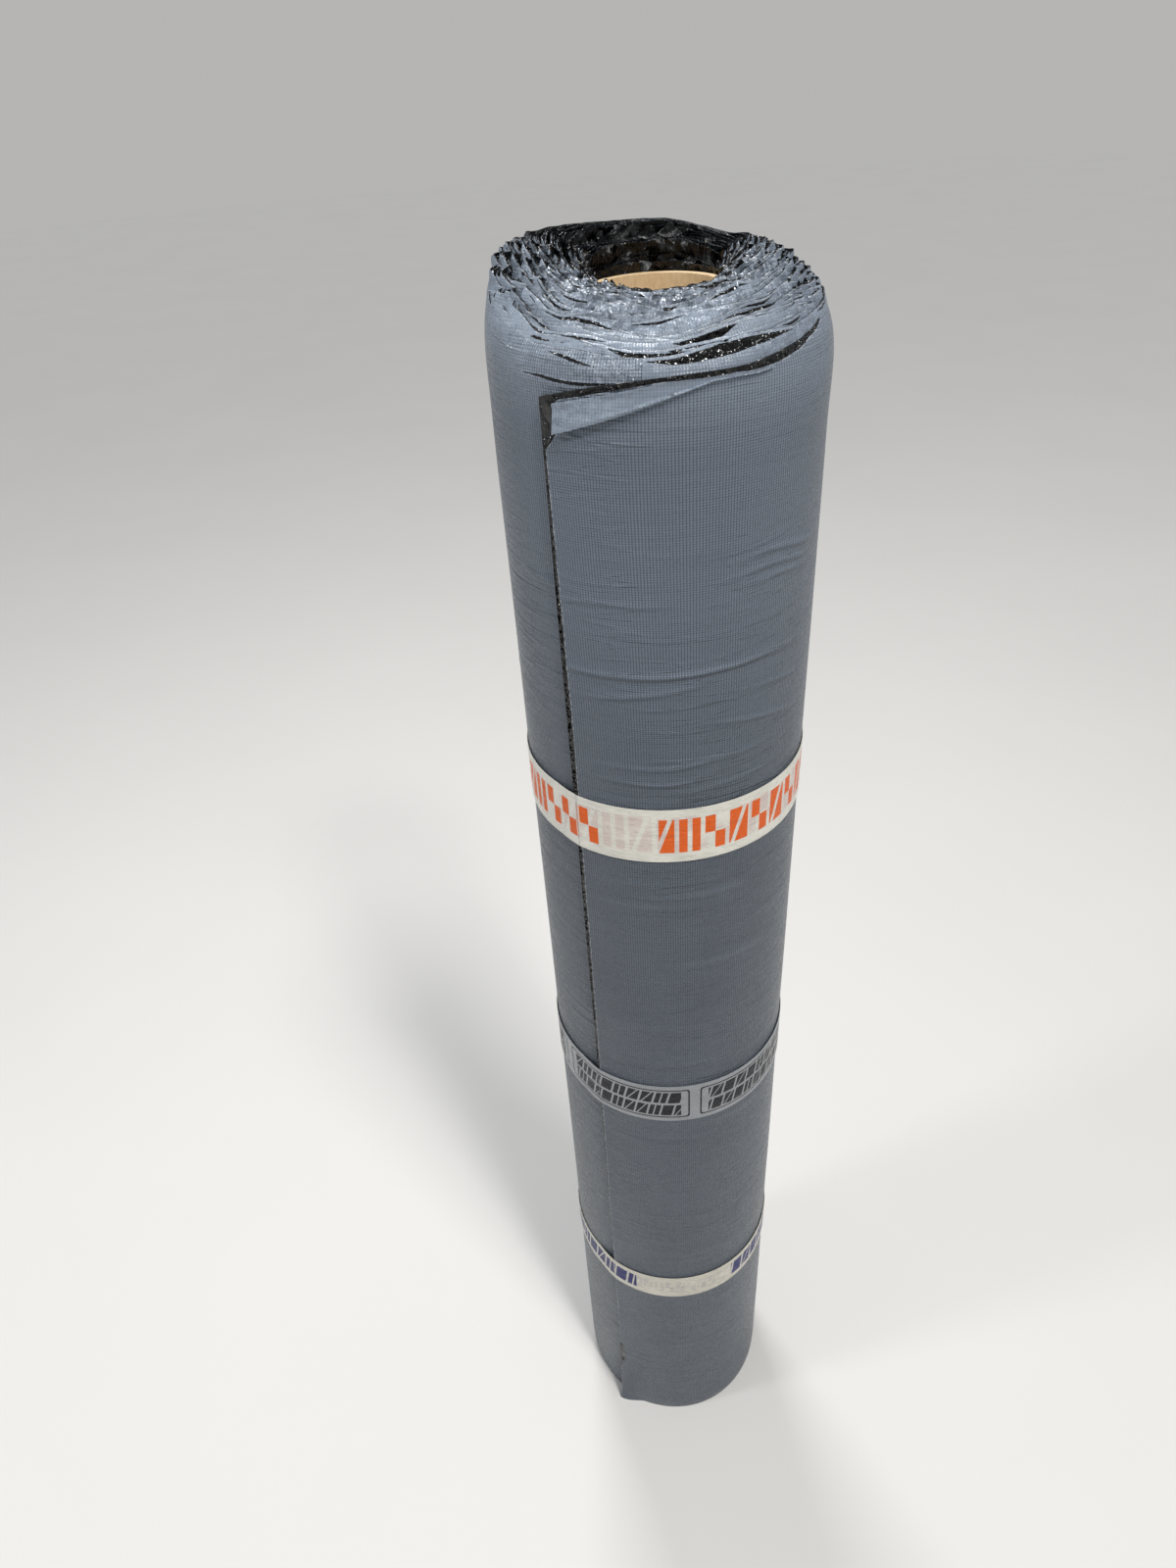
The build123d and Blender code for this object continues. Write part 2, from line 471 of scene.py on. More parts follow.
# At these radii, the leaf tips are as high as the rows below say, one row for each azimuth
TIP_RADII = np.array([28, 32, 35, 37, 39, 42, 46, 48, 50, 52, 58, 64, 70, 76, 80, 84, 87.0])
TIP_HEIGHTS = {
    0: (1023.2, 1024, 1024.8, 1025.2, 1025.6, 1026, 1025.2, 1024.4, 1023.2,
        1021.5, 1017, 1012, 1008.5, 1006, 1004, 1001, 998),
    45: (1023.5, 1024.5, 1025.5, 1026, 1026.8, 1027.6, 1028, 1028, 1028,
         1027.5, 1024, 1020, 1016, 1011, 1007, 1003, 1001),
    90: (1023.5, 1026, 1028, 1030, 1031, 1033, 1034, 1034, 1034,
         1033.5, 1031, 1027.5, 1022.5, 1017.5, 1013, 1007, 1003),
    112: (1023.5, 1025, 1026.5, 1028, 1032, 1034, 1035, 1035, 1035,
          1034.5, 1032.5, 1029.5, 1026, 1022, 1018, 1013, 1009),
    135: (1023, 1024, 1025.5, 1026, 1033.5, 1034, 1034.5, 1035, 1036.5,
          1036.5, 1034.5, 1033, 1031.5, 1029, 1026, 1020, 1014),
    180: (1023, 1024, 1025.5, 1026, 1034.5, 1035, 1035.5, 1036, 1041,
          1041.3, 1041.5, 1041.5, 1039.5, 1035, 1030, 1023, 1016),
    225: (1023, 1024, 1025.5, 1026, 1034, 1034.5, 1035, 1036, 1040.8,
          1041.2, 1041.5, 1041.5, 1041, 1039, 1035.5, 1028, 1018),
    260: (1023.5, 1025, 1027, 1028, 1031, 1032, 1034, 1035, 1037.5,
          1039, 1041, 1041, 1040, 1036, 1031, 1023.5, 1012),
    290: (1023.5, 1025.5, 1027.5, 1029, 1030, 1030.5, 1031, 1031, 1031,
          1031, 1031, 1030, 1027, 1022, 1016, 1009, 1003),
    320: (1023.5, 1024.6, 1025.6, 1026.4, 1027.2, 1028, 1028, 1027.5, 1026.5,
          1025, 1021, 1017, 1014, 1010, 1007, 1003, 1000),
}
TIP_HEIGHTS[360] = TIP_HEIGHTS[0]


def dome_height(radius, azimuth):
    """Height of the leaf tips: profiles over the radius, joined round the roll by S-shaped steps."""
    round_roll = np.array(list(TIP_HEIGHTS))
    profiles = np.stack([np.interp(radius, TIP_RADII, heights) for heights in TIP_HEIGHTS.values()])
    a = np.mod(azimuth, 360.0)
    i = np.clip(np.searchsorted(round_roll, a, side="right") - 1, 0, len(round_roll) - 2)
    t = smooth((a - round_roll[i]) / (round_roll[i + 1] - round_roll[i]))
    pick = np.arange(len(a))
    return profiles[i, pick] * (1 - t) + profiles[i + 1, pick] * t


def around(turn):
    """Azimuth of a place on the sheet, counted in turns from the core: 26 at the free edge."""
    return FREE_EDGE + 360.0 * (TURNS - turn)


def sheet_radius(turn):
    """Radius of the sheet's outer face: an even spiral that gains one sheet thickness a turn."""
    return CORE_RADIUS + SHEET * turn


def sheet_length(turn):
    """Length of sheet from the core to a place: the spiral's mean circumference times its turns."""
    return 2 * math.pi * (CORE_RADIUS * turn + SHEET * turn**2 / 2)


def near_side(azimuth):
    """1 on the near side of the roll, 0 on the far side."""
    return (0.5 + 0.5 * np.cos(np.radians(azimuth))) ** 1.2


# Places where a leaf reaches further over its neighbour, or stops short of it: turn, half length in turns, millimetres
LONG_LEAVES = (
    (21.85, 0.07, 2.4), (22.85, 0.07, -0.6), (22.88, 0.08, 1.6), (23.90, 0.08, 0.4), (24.84, 0.10, 0.6),
    (20.95, 0.12, 2.6), (19.0, 0.12, 3.0), (23.00, 0.07, 1.6), (24.02, 0.07, 2.2),
    (16.9, 0.1, 2.6), (14.85, 0.12, 2.8), (12.0, 0.14, 2.6), (9.9, 0.14, 2.4),
)
# Where the film stops short of the sheet's edge: turn, half length in turns, and width in millimetres
BARE_STRIPS = ((25.96, 0.12, 3.2), (25.86, 0.08, 2.6), (25.80, 0.07, 3.6))
# Lens-shaped gaps under a leaf's lip, bare to the black bitumen, which in the thin ones is a painted shadow under the
# lip:
# turn, half length in turns, and depth in millimetres
GAPS = (
    (24.84, 0.085, 5.0), (23.900, 0.058, 4.4), (22.860, 0.052, 5.2), (21.853, 0.040, 4.4), (20.80, 0.035, 2.4),
    (16.9, 0.05, 1.8), (13.80, 0.05, 2.0), (9.9, 0.09, 1.8), (11.883, 0.045, 1.8), (17.782, 0.038, 2.0),
    (18.99, 0.075, 2.2), (21.02, 0.070, 1.8), (22.01, 0.080, 2.2), (24.01, 0.055, 2.2), (17.02, 0.060, 1.8),
    (15.04, 0.050, 1.7), (13.02, 0.050, 1.7), (24.70, 0.03, 1.8), (23.76, 0.025, 1.9), (20.73, 0.03, 1.8),
)


def leaf_lean(turn):
    """How far a leaf's tip leans over the core: most on the near side, and none at the free edge.

    Smooth noise along the sheet lets some leaves reach over the next and others stop short, most on the near side.
    """
    near = near_side(around(turn))
    lean = (2.6 + 5.6 * near) * (0.9 + 0.1 * smooth(turn, 3, 9))
    slide = (0.35 + 2.1 * near) * (0.8 * drift(turn * 360, 41, 12) + 0.3 * drift(turn * 360, 14, 13))
    slide = slide * smooth(turn, 2.2, 4.0)
    for middle, half, most in LONG_LEAVES:
        slide = slide + most * hump(turn, middle, half)
    return (lean + slide) * (1 - smooth(turn, 25.66, 25.86))


def beside(azimuth):
    """1 at the two sides of the roll, where the pleats are, and 0 at the front and back."""
    return smooth(np.abs(np.sin(np.radians(azimuth))), 0.74, 0.93)


def pleat_wave(azimuth, radius):
    """Upright pleats from -1 to 1: a sine over azimuth and radius, steeper on one flank, with a wandering phase."""
    where = np.mod(azimuth, 360)
    phase = 2 * math.pi * (where / 12.0 + radius / 10.0 + 0.40 * rumple(where, radius, 25, 13, 95))
    return np.sin(phase + 0.7 * np.sin(phase))


def teeth(turn):
    """Pointed teeth in the leaves' edges, one on each pleat, and by the mouth: 0 to 1."""
    azimuth = around(turn)
    by_mouth = smooth(7.0 - turn, 0, 3) * hump(np.mod(azimuth, 360), 315, 50)
    point = (0.5 + 0.5 * pleat_wave(azimuth, sheet_radius(turn))) ** 1.6
    return point * np.maximum(beside(azimuth), by_mouth) * (0.45 + 0.55 * np.abs(drift(turn * 360, 11, 92)))


def tip_height(turn):
    """Height of the sheet's upper edge, with its own uneven line, and dipping at the free edge."""
    azimuth = around(turn)
    across = np.sin(np.radians(azimuth)) ** 2
    line = (0.30 + 0.9 * across) * drift(turn * 360, 23, 3) + (0.14 + 0.3 * across) * drift(turn * 360, 5, 4)
    share = 1 - 0.75 * smooth(turn, 15, 22) - 0.25 * smooth(turn, 24.0, 25.2)
    right, left = hump(np.mod(azimuth, 360), 122, 42), hump(np.mod(azimuth, 360), 258, 40)
    share = share * (1 - right * smooth(turn, 10, 13)) * (1 - 0.6 * left * smooth(turn, 15, 18))
    fins = (3.8 + 3.4 * right + 1.6 * left) * (teeth(turn) - 0.32 - 0.26 * right - 0.12 * left)
    height = dome_height(sheet_radius(turn) - leaf_lean(turn), azimuth) + line + fins * share
    last = np.clip((20.0 - azimuth) / 57.0, 0, 1)
    free = FELT_WIDTH - 12.0 * last**2
    height = height + (free - height) * smooth(turn, 25.76, 25.86)
    return np.minimum(height, HIGHEST - 0.4)


def bare_edge(turn):
    """Width of the black strip that the film leaves bare along the sheet's upper edge; below zero it wraps over."""
    near = near_side(around(turn))
    shoulder = hump(np.mod(around(turn) + 180, 360), 145, 45)
    # thin slits where the film stops short: bare black bitumen, and a painted shadow under the next leaf's tip
    slit = 2.1 * smooth(drift(turn * 360, 23, 8), 0.45, 0.95) * (1 - 0.8 * shoulder)
    slit = slit + 0.5 * (1 - near) * smooth(turn, 1, 26)
    width = slit - 0.9 + 1.5 * drift(turn * 360, 11, 93) * beside(around(turn)) * smooth(25.6 - turn, 0, 1)
    for middle, half, most in BARE_STRIPS:
        width = np.maximum(width, most * hump(turn, middle, half) ** 0.55 - 0.3)
    return width


def gap_depth(turn):
    """Depth of the gaps under the lips, in millimetres below the tip: a lens for each, and zero between them."""
    depth = np.zeros(len(turn))
    for middle, half, most in GAPS:
        depth = np.maximum(depth, most * hump(turn, middle, half) ** 0.55)
    return depth


def leaf_bend(up, near):
    """Share of the lean at a share of the way up: a power that is higher on the near side."""
    return up ** (2.6 + 2.4 * near)


def dome_folds(azimuth, radius):
    """Folds that run across several leaves, in millimetres, stronger on the near side."""
    slanted = np.mod(azimuth, 360) + 3.0 * (radius - 60)
    broad = rumple(slanted, radius, 17, 9, 27)
    long = creases(slanted, radius, 34, 6, 28)
    return (0.35 + 0.75 * near_side(azimuth)) * broad + (0.1 + 0.55 * near_side(azimuth)) * long


def crown_leaves(name, first, last, material):
    """The standing edge of the sheet between two places, as one closed ribbon.

    A section runs up the outer face, over the cut edge and down the inner face. The face leans inwards by the lean
    times a power of the way up, and foil creases move it in and out. The attributes below_tip and gap_depth, both in
    millimetres, give the finish the gaps under the lips.
    """
    columns = int((sheet_length(last) - sheet_length(first)) / COLUMN)
    turn = np.linspace(first, last, columns)
    azimuth, base, length = around(turn), sheet_radius(turn), sheet_length(turn)
    tip, lean, near = tip_height(turn), leaf_lean(turn), near_side(around(turn))
    foot = np.maximum(BODY_TOP, tip - LEAF_DEPTH) - 2.0
    way = np.array([0, 0.25, 0.45, 0.6, 0.7, 0.78, 0.84, 0.89, 0.93, 0.97, 1.0])
    back = np.array([1.0, 0.95, 0.88, 0.78, 0.64, 0.42, 0.0])
    up = np.concatenate([way, back])
    inside = np.arange(len(up)) >= len(way)
    height = foot[:, None] + (tip - foot)[:, None] * up[None, :]
    bend = lean[:, None] * leaf_bend(up[None, :], near[:, None])
    mouth = 1 - smooth(base, 46, 68)
    crush = (0.12 + 0.22 * near + 1.05 * mouth * near)[:, None] * smooth(up, 0.45, 0.95)[None, :]
    along, tall = length[:, None], height
    ruffle = 0.6 * creases(along, tall, 6.0, 4.2, 21) + 0.4 * creases(along, tall, 3.0, 2.4, 22)
    wave = (0.38 * drift(turn * 360, 15, 31))[:, None] * smooth(up, 0.5, 1.0)[None, :]
    shared = dome_folds(azimuth[:, None], base[:, None] - bend) * smooth(up, 0.35, 0.95)[None, :]
    shared = shared * smooth(TURNS - turn, 0.7, 2.0)[:, None]
    thick = SHEET - 1.4 * smooth(up, 0.25, 0.9)[None, :]
    curl = (0.35 + 0.75 * smooth(drift(turn * 360, 21, 34), -0.4, 0.8)) * (1 - 0.6 * mouth * near)
    curl = curl[:, None] * smooth(up, 0.84, 1.0)[None, :]
    pleating = 1.9 * beside(azimuth) * smooth(TURNS - turn, 1.0, 3.0)
    pleats = pleat_wave(azimuth[:, None], base[:, None]) * pleating[:, None]
    flick = pleats * smooth(up, 0.55, 1.0)[None, :]
    radius = base[:, None] - bend + crush * ruffle + wave + shared + curl + flick - thick * inside[None, :]
    height = height + crush * (0.9 * rumple(along, tall, 4.2, 5.0, 23) + 0.35 * rumple(along, tall, 2.1, 9.0, 24))
    height = np.minimum(height, HIGHEST - 0.2)
    points = polar(radius, azimuth[:, None], height)
    below = tip[:, None] - height
    reach = np.where(inside[None, :], INNER_FACE, below - bare_edge(turn)[:, None])
    gap = np.broadcast_to(gap_depth(turn)[:, None], height.shape)
    uv = np.stack([np.broadcast_to(along, height.shape) * MM, height * MM], -1)
    crumpled = 1 - smooth(base, 52, 76)
    crinkle = 0.07 + 0.93 * crumpled * (0.25 + 0.75 * near) + 0.30 * smooth(drift(turn * 360, 18, 33), 0.4, 0.9)
    crinkle = crinkle[:, None] * smooth(up, 0.3, 0.8)
    piece = surface(name, points[::-1], material, closed_v=True, capped=True,
                    maps={"felt": uv[::-1], "film_reach": reach[::-1], "crinkle": crinkle[::-1],
                          "below_tip": below[::-1], "gap_depth": gap[::-1]})
    return belongs(piece, "film_faced_bitumen", "felt_roll")


# Creases in the outermost turn: azimuth and height of the middle, half length in degrees, millimetres of slope
# for each degree, and depth
CREASES = (
    (14, 852.5, 66, 0.03, 0.60), (-8, 840.5, 30, 0.2, 0.36), (48, 909, 26, -0.08, 0.50), (44, 902, 28, -0.05, 0.42),
    (52, 896, 24, 0.06, 0.34), (38, 815, 30, -0.25, 0.40), (50, 834, 26, -0.1, 0.34), (10, 795, 44, 0.05, 0.34),
    (-5, 784, 30, 0, 0.30), (34, 779, 30, 0.08, 0.32), (-15, 892, 26, 0.1, 0.24), (160, 850, 40, 0.1, 0.4),
    (20, 700, 40, 0.04, 0.25), (-5, 690, 35, -0.03, 0.20), (30, 640, 40, 0.05, 0.22), (5, 540, 30, 0.02, 0.2),
    (40, 470, 30, 0.08, 0.22), (0, 455, 35, 0.02, 0.2), (20, 290, 45, 0.03, 0.2), (35, 200, 30, 0.05, 0.2),
    (150, 700, 40, 0.1, 0.25), (200, 300, 50, -0.1, 0.25), (250, 820, 40, 0.12, 0.3), (290, 500, 40, 0.1, 0.25),
)
SHARP_ABOVE = 770  # creases higher than this are narrower
# The two slits on the near left shoulder: azimuths and heights
LOW_SLIT = ((-50.7, -38, -30.7, -23.2, -13.2, -3.7), (997.3, 997.6, 996.6, 996.1, 996.2, 996.3))
HIGH_SLIT = ((-38.4, -29.8, -22.8, -17.4), (1007.0, 1006.0, 1003.4, 1001.8))


def body_creases(azimuth, height):
    """Long slanted ridges in the outer turn, gentle above and steep below, on a slow unevenness.

    It returns their lift, and their painted light and shade: above zero on the ridge, painted paler as a scuff and a
    painted highlight, and below zero in the fold under it, painted shade.
    """
    slow = 0.35 * rumple(azimuth, height, 34, 120, 41)
    lift, crease_shading = np.zeros_like(slow), np.zeros_like(slow)
    for middle, level, half, slope, depth in CREASES:
        line = height - level - slope * (azimuth - middle) - 2.0 * rumple(azimuth, height, 20, 60, 43)
        above, under = (4.5, 1.3) if level > SHARP_ABOVE else (6.0, 2.2)
        strength = 1.7 * depth * hump(azimuth, middle, half) ** 0.7
        lift = lift + strength * np.exp(-(line / np.where(line > 0, above, under)) ** 2)
        # painted highlight on the ridge just above the line, painted shade in the fold just below it
        crease_shading = crease_shading + strength * (np.exp(-((line - 1.6) / 1.3) ** 2) - 1.2 * np.exp(-((line + 0.9) / 1.1) ** 2))
    return slow + lift, crease_shading


def shoulder_slits(turn, height):
    """Two long slits on the near left shoulder, each over a rolled lip: the lips' bulge, and the slits' attributes.

    Each slit is a lens along a line of heights over azimuth. Half way between the lines the depth is zero. The slits
    are painted black, a painted shadow in the gap behind each lip.
    """
    azimuth = around(turn) - 360
    low, high = (np.interp(azimuth, *line)[:, None] for line in (LOW_SLIT, HIGH_SLIT))
    low_lens, high_lens = (hump(azimuth, -28, half)[:, None] ** 0.55 for half in (27, 13))
    lip = 0.0
    for line, lens in ((low, low_lens), (high, high_lens)):
        roll, dip = np.exp(-((height - line + 1.9) / 1.7) ** 2), np.exp(-((height - line - 1.0) / 1.6) ** 2)
        lip = lip + lens * (0.9 * roll - 0.5 * dip)
    middle = (low + high) / 2
    upper = height > middle
    # painted shadow: black in a lens just above each lip line
    below = np.where(upper, high, low) + LIP - height
    gap = np.where(np.abs(height - middle) < 1.7, 0, np.where(upper, 2.0 * high_lens, 2.2 * low_lens))
    return lip, below, gap


def outer_sheet(material):
    """The last turn of the sheet, from under its own free edge round to that edge, as one closed sheet.

    It follows the spiral, its face rises straight from the floor and joins the crown's lean at the top. The attribute
    crease_wear gives the finish the creases' painted light and shade: a paler ridge, partly a scuff, over a
    darker fold.
    """
    turn = np.concatenate([np.linspace(24.90, 25.93, 168), np.linspace(25.934, 26.0, 18)])
    azimuth, base, length = around(turn), sheet_radius(turn), sheet_length(turn)
    tip, lean, near = tip_height(turn), leaf_lean(turn), near_side(azimuth)
    walls = np.concatenate([[0, 1.2, 4, 8, 14, 22, 32], np.linspace(44, 765, 170), np.linspace(769, 930, 150),
                            np.linspace(935, BODY_TOP - 4, 10)])
    top = np.concatenate([[0, 0.12, 0.24], np.linspace(0.34, 1.0, 18)])
    back = np.array([1.0, 0.9, 0.7, 0.4, 0.0])
    low = np.array([800.0, 500.0, 250.0, 30.0, 0.0])
    above = (tip - BODY_TOP)[:, None]
    wall_rows, low_rows = (np.broadcast_to(rows, (len(turn), len(rows))) for rows in (walls, low))
    height = np.concatenate([wall_rows, BODY_TOP + above * top, BODY_TOP + above * back, low_rows], 1)
    inside = np.arange(height.shape[1]) >= len(walls) + len(top)
    up = np.clip((height - BODY_TOP) / above, 0, 1)
    bend = lean[:, None] * leaf_bend(up, near[:, None])
    # around the foot the edge is pressed in a little, and the free edge's lower corner stands off
    pressed = 1.1 * np.exp(-height / 6.0) * (1 - hump(azimuth, FREE_EDGE, 30)[:, None])
    flare = 7.5 * smooth(turn, 25.955, 26.0)[:, None] * np.exp(-np.maximum(height, 0) / 38.0)
    lift, crease_shading = body_creases(azimuth[:, None] + 0 * height, height)
    lift = lift * smooth(height, 12, 60) * (1 - smooth(height, 930, 985))
    peel = 0.7 * smooth(turn, 25.985, 26.0)[:, None] * (0.6 + 0.4 * rumple(azimuth[:, None], height, 40, 60, 47))
    wave = 0.3 * drift(turn * 360, 15, 31)[:, None] * up
    wave = wave + np.where(inside, 0, 2.0 * hump(azimuth, 60, 32)[:, None] * hump(height, 984, 34))
    lip, below, gap = shoulder_slits(turn, height)
    radius = base[:, None] - bend - pressed + flare + peel + np.where(inside, 0, lift + lip - 0.35) + wave
    thick = SHEET - 0.5 * up
    radius = radius - np.where(inside, thick - 0.2, 0.2)
    sidestep = -2.6 * smooth(height, 800, 985) * smooth(turn, 25.84, 25.95)[:, None]
    points = polar(radius, azimuth[:, None] + sidestep, height)
    from_edge = sheet_length(float(TURNS)) - length
    side_bare = 0.25 + 0.15 * drift(height, 9, 51) + 0.6 * smooth(height, 250, 560)
    side_bare = side_bare + 0.8 * smooth(height, 840, 950) + 7.2 * smooth(height, 965, 974)
    reach = np.minimum(tip[:, None] - height - bare_edge(turn)[:, None], from_edge[:, None] - side_bare)
    reach = np.where(inside, INNER_FACE, reach)
    uv = np.stack([np.broadcast_to(length[:, None], height.shape) * MM, height * MM], -1)
    crinkle = 0.12 + 0.5 * smooth(height, 960, 1000) * smooth(azimuth, 30, 80)[:, None]
    piece = surface("outer_sheet", points[::-1], material, closed_v=True, capped=True,
                    maps={"felt": uv[::-1], "film_reach": reach[::-1], "crinkle": crinkle[::-1],
                          "below_tip": below[::-1], "gap_depth": gap[::-1], "crease_wear": crease_shading[::-1]})
    return belongs(piece, "film_faced_bitumen", "felt_roll")


def leaf_rise(radius):
    """How far a turn stands above the outermost one: a quarter sine wave to the crest, then a curl to the mouth."""
    if radius >= CREST_RADIUS:
        inwards = OUTER_LEAF - min(radius, OUTER_LEAF)
        return CREST_RISE * math.sin(math.pi / 2 * inwards / (OUTER_LEAF - CREST_RADIUS))
    curl = (CREST_RADIUS - radius) / (CREST_RADIUS - MOUTH_RADIUS)
    return CREST_RISE - (CREST_RISE - MOUTH_RISE) * curl**2


def wound_turns(material):
    """The turns inside the outermost one as a turned solid: its foot steps up the hollow turn by turn.

    Each turn's lower edge is as high as its upper edge stands above the outermost one, with rounded corners.
    """
    corner = ((0.02, 0.9), (0.18, 0.25), (0.5, 0.0))
    outside, bore = OUTER_LEAF - 0.5, CORE_RADIUS + 0.2
    profile = []
    for turn in range(TURNS - 1):
        inner = sheet_radius(turn)
        rise = leaf_rise(inner)
        outer = inner + SHEET if turn < TURNS - 2 else outside
        profile += [(inner + side, rise + up) for side, up in corner]
        profile += [(outer - side, rise + up) for side, up in corner[::-1]]
    profile += [(outside, 300), (outside, 700), (outside, BODY_TOP - 6), (70, BODY_TOP + 6), (52, BODY_TOP + 22),
                (bore, BODY_TOP + 24), (bore, 700), (bore, 300)]
    profile = np.array(profile)
    azimuth = np.linspace(0, 360, 180, endpoint=False)
    points = polar(profile[None, :, 0], azimuth[:, None], profile[None, :, 1])
    uv = np.stack([np.broadcast_to(np.radians(azimuth)[:, None] * 0.085, points.shape[:2]), points[..., 2] * MM], -1)
    reach = np.full(points.shape[:2], INNER_FACE)
    piece = surface("wound_turns", points, material, closed_u=True, closed_v=True,
                    maps={"felt": uv, "film_reach": reach, "crinkle": 0 * reach})
    return belongs(piece, "film_faced_bitumen", "felt_roll")


def folded_corner(material):
    """The corner of the film, folded back and down from the upper edge: a thin curved wedge.

    Its upper side follows the bare strip, its lower side runs straight from the corner's foot up to that strip,
    and it stands off most along its lower side.
    """
    azimuth = np.concatenate([np.linspace(-32.1, 13, 60), np.linspace(14, 36, 24)])
    turn = TURNS - (azimuth - FREE_EDGE) / 360.0
    upper = tip_height(turn) - bare_edge(turn) - 0.1
    lower = 974.0 + 0.465 * (azimuth + 31.9)
    lower = np.minimum(lower, upper - 0.9 - 0.5 * (1 - smooth(azimuth, 14, 36)))
    across = np.concatenate([np.linspace(0, 0.7, 8), np.linspace(0.76, 1, 9)])
    height = upper[:, None] + (lower - upper)[:, None] * across[None, :]
    taper = (1 - smooth(azimuth, 6, 36))[:, None]
    stand = 0.8 + (0.7 * hump(across, 0.05, 0.14) + 1.9 * smooth(across, 0.1, 1.0))[None, :] * (0.2 + 0.8 * taper)
    stand = stand * (0.22 + 0.78 * taper * smooth(-azimuth, -18, 30)[:, None])
    stand = stand + (1.2 * hump(across, 0.86, 0.16))[None, :] * hump(azimuth, 8, 34)[:, None] ** 0.5
    stand = stand + 0.25 * creases(azimuth[:, None] * 1.5, height, 9.0, 6.0, 61) * taper
    front = sheet_radius(turn)[:, None] + stand
    rear = front - 0.3
    rings = np.concatenate([front, rear[:, ::-1]], 1)
    levels = np.concatenate([height, height[:, ::-1]], 1)
    points = polar(rings, azimuth[:, None], levels)
    uv = np.stack([np.broadcast_to(sheet_length(turn)[:, None], levels.shape) * MM, levels * MM], -1)
    reach = np.full(levels.shape, 3.0)
    # the rolled ridge along the lower side gets a high crinkle: glossier, and through the finish's pale share painted
    # paler, a painted highlight along the ridge
    rolled = np.concatenate([hump(across, 0.84, 0.14), 0 * across])[None, :] * smooth(azimuth, -16, -4)[:, None]
    crinkle = np.maximum((0.32 - 0.26 * smooth(azimuth, -18, -2))[:, None], 0.75 * rolled)
    piece = surface("folded_film_corner", points, material, closed_v=True, capped=True,
                    maps={"felt": uv, "film_reach": reach, "crinkle": crinkle})
    return belongs(piece, "film_faced_bitumen")


def core_tube(material):
    """The cardboard core: a turned ring with rounded ends."""
    foot, top = CORE_FOOT, CORE_FOOT + FELT_WIDTH
    outer, inner = CORE_RADIUS - 0.02, BORE_RADIUS
    walls = np.linspace(foot + 1, top - 1, 26)
    profile = [(outer, z) for z in walls]
    profile += [(outer - 0.3, top - 0.25), (outer - 1, top), (inner + 0.9, top), (inner + 0.25, top - 0.3)]
    profile += [(inner, z) for z in walls[::-1]]
    profile += [(inner + 0.25, foot + 0.3), (inner + 0.9, foot), (outer - 1, foot), (outer - 0.3, foot + 0.25)]
    profile = np.array(profile)
    azimuth = np.linspace(0, 360, 160, endpoint=False)
    points = polar(profile[None, :, 0], azimuth[:, None], profile[None, :, 1])
    uv = np.stack([np.broadcast_to((azimuth / 360)[:, None], points.shape[:2]), points[..., 2] * MM], -1)
    piece = surface("core_tube_detail", points, material, closed_u=True, closed_v=True, maps={"core": uv})
    return belongs(piece, "core_card", "core_tube")


def tape_band(name, slot, node, foot, width, material, seed):
    """A band of tape round the roll: it follows the outer sheet, and comes straight down off the free edge.

    There its radius is the straight line's distance from the axis, over the cosine of the angle from its middle.
    Small folds run along the tape and fade towards its two long edges, which wander a little.
    """
    azimuth = np.linspace(FREE_EDGE, FREE_EDGE + 360, 420, endpoint=False)
    spiral = sheet_radius(TURNS - (azimuth - FREE_EDGE) / 360.0)
    left = FREE_EDGE + 360 - azimuth
    from_middle = np.radians(np.clip(BRIDGE - left, -BRIDGE, BRIDGE))
    bridge = sheet_radius(TURNS) * np.cos(np.radians(BRIDGE)) / np.cos(from_middle)
    line = np.where(left < BRIDGE, np.maximum(spiral, bridge), spiral)
    line = np.where(left < BRIDGE, np.maximum(line, sheet_radius(TURNS - 1) + SHEET * (1 - left / BRIDGE)), line)
    across = np.linspace(0, 1, 15)
    height = foot + width * across
    fold = 0.22 * creases(azimuth[:, None] * 1.5, height[None, :], 16, 9, seed)
    fold = fold * smooth(np.sin(math.pi * across), 0, 0.6)[None, :]
    front = line[:, None] + TAPE_FACE + 0.10 * fold
    rear = np.broadcast_to(line[:, None] + TAPE_BACK, front.shape)
    wander = 0.105 * rumple(azimuth, 0 * azimuth, 25, 1, seed + 1)[:, None]
    levels = height[None, :] + wander
    radius = np.concatenate([front, rear[:, ::-1]], 1)
    levels = np.concatenate([levels, levels[:, ::-1]], 1)
    points = polar(radius, azimuth[:, None], levels)
    along = (azimuth - FREE_EDGE) / 360 * (2 * math.pi * TAPE_RADIUS / width)
    uv = np.stack([np.broadcast_to(along[:, None], levels.shape),
                   np.concatenate([across, across[::-1]])[None, :] + 0 * levels], -1)
    piece = surface(name, points, material, closed_u=True, closed_v=True, maps={"tape": uv})
    return belongs(piece, slot, node)


